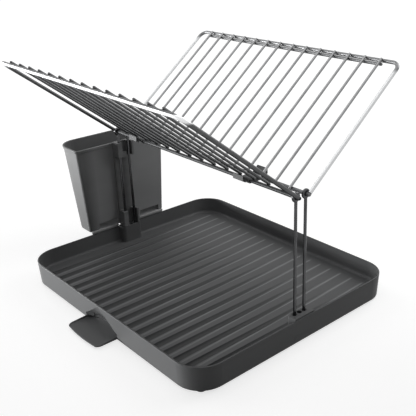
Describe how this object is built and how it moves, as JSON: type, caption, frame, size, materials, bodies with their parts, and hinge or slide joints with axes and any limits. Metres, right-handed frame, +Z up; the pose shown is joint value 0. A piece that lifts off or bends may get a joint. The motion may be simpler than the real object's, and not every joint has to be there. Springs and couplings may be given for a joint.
{
  "type": "two-tier dish rack",
  "caption": "Dish rack: ribbed drip tray with a drain lip, wire legs in end sockets, two hinged wire leaves open in a V as an upper tier, and a cutlery cup hung on the legs.",
  "frame": {"origin": "middle of the whole rack's outline seen from above, on the table", "axes": "+X along the rack, away from the cutlery cup; +Y to the rear, away from the drain lip; +Z up"},
  "size_m": [0.4612, 0.378, 0.3295],
  "materials": {
    "tray_plastic": "fine matte anthracite moulding",
    "clip_plastic": "matte anthracite moulding",
    "steel_wire": "polished stainless wire",
    "foot_rubber": "matt black rubber"
  },
  "bodies": {
    "tray": {"drip_tray": "tray_plastic", "foot_front_left": "foot_rubber", "foot_front_right": "foot_rubber", "foot_rear_left": "foot_rubber", "foot_rear_right": "foot_rubber"},
    "stand": {"leg_front_left": "steel_wire", "leg_front_right": "steel_wire", "leg_rear_left": "steel_wire", "leg_rear_right": "steel_wire", "rail_clip_left": "clip_plastic", "rail_clip_right": "clip_plastic"},
    "front_leaf": {"front_hinge_rail": "steel_wire", "front_leaf_frame": "steel_wire", "front_inner_rail": "steel_wire", "front_cross_wire_1": "steel_wire", "front_cross_wire_2": "steel_wire", "front_cross_wire_3": "steel_wire", "front_cross_wire_4": "steel_wire", "front_cross_wire_5": "steel_wire", "front_cross_wire_6": "steel_wire", "front_cross_wire_7": "steel_wire", "front_cross_wire_8": "steel_wire", "front_cross_wire_9": "steel_wire", "front_cross_wire_10": "steel_wire", "front_cross_wire_11": "steel_wire", "front_cross_wire_12": "steel_wire", "front_cross_wire_13": "steel_wire", "front_cross_wire_14": "steel_wire"},
    "rear_leaf": {"rear_hinge_rail": "steel_wire", "rear_leaf_frame": "steel_wire", "rear_inner_rail": "steel_wire", "rear_cross_wire_1": "steel_wire", "rear_cross_wire_2": "steel_wire", "rear_cross_wire_3": "steel_wire", "rear_cross_wire_4": "steel_wire", "rear_cross_wire_5": "steel_wire", "rear_cross_wire_6": "steel_wire", "rear_cross_wire_7": "steel_wire", "rear_cross_wire_8": "steel_wire", "rear_cross_wire_9": "steel_wire", "rear_cross_wire_10": "steel_wire", "rear_cross_wire_11": "steel_wire", "rear_cross_wire_12": "steel_wire", "rear_cross_wire_13": "steel_wire", "rear_cross_wire_14": "steel_wire"},
    "cup_holder": {"cutlery_cup": "tray_plastic", "cup_hanger": "clip_plastic"}
  },
  "joints": [
    {"name": "stand_lift", "type": "slide", "parent": "tray", "child": "stand", "axis": [0, 0, 1], "range_m": [0, 0.03]},
    {"name": "front_leaf_hinge", "type": "hinge", "parent": "stand", "child": "front_leaf", "pos_m": [0.0306, 0.00647, 0.196], "axis": [-1, 0, 0], "range_deg": [0, 51.8]},
    {"name": "rear_leaf_hinge", "type": "hinge", "parent": "stand", "child": "rear_leaf", "pos_m": [0.0306, 0.02307, 0.196], "axis": [1, 0, 0], "range_deg": [0, 51.8]},
    {"name": "cup_slide", "type": "slide", "parent": "stand", "child": "cup_holder", "axis": [0, 0, 1], "range_m": [0, 0.011]}
  ]
}
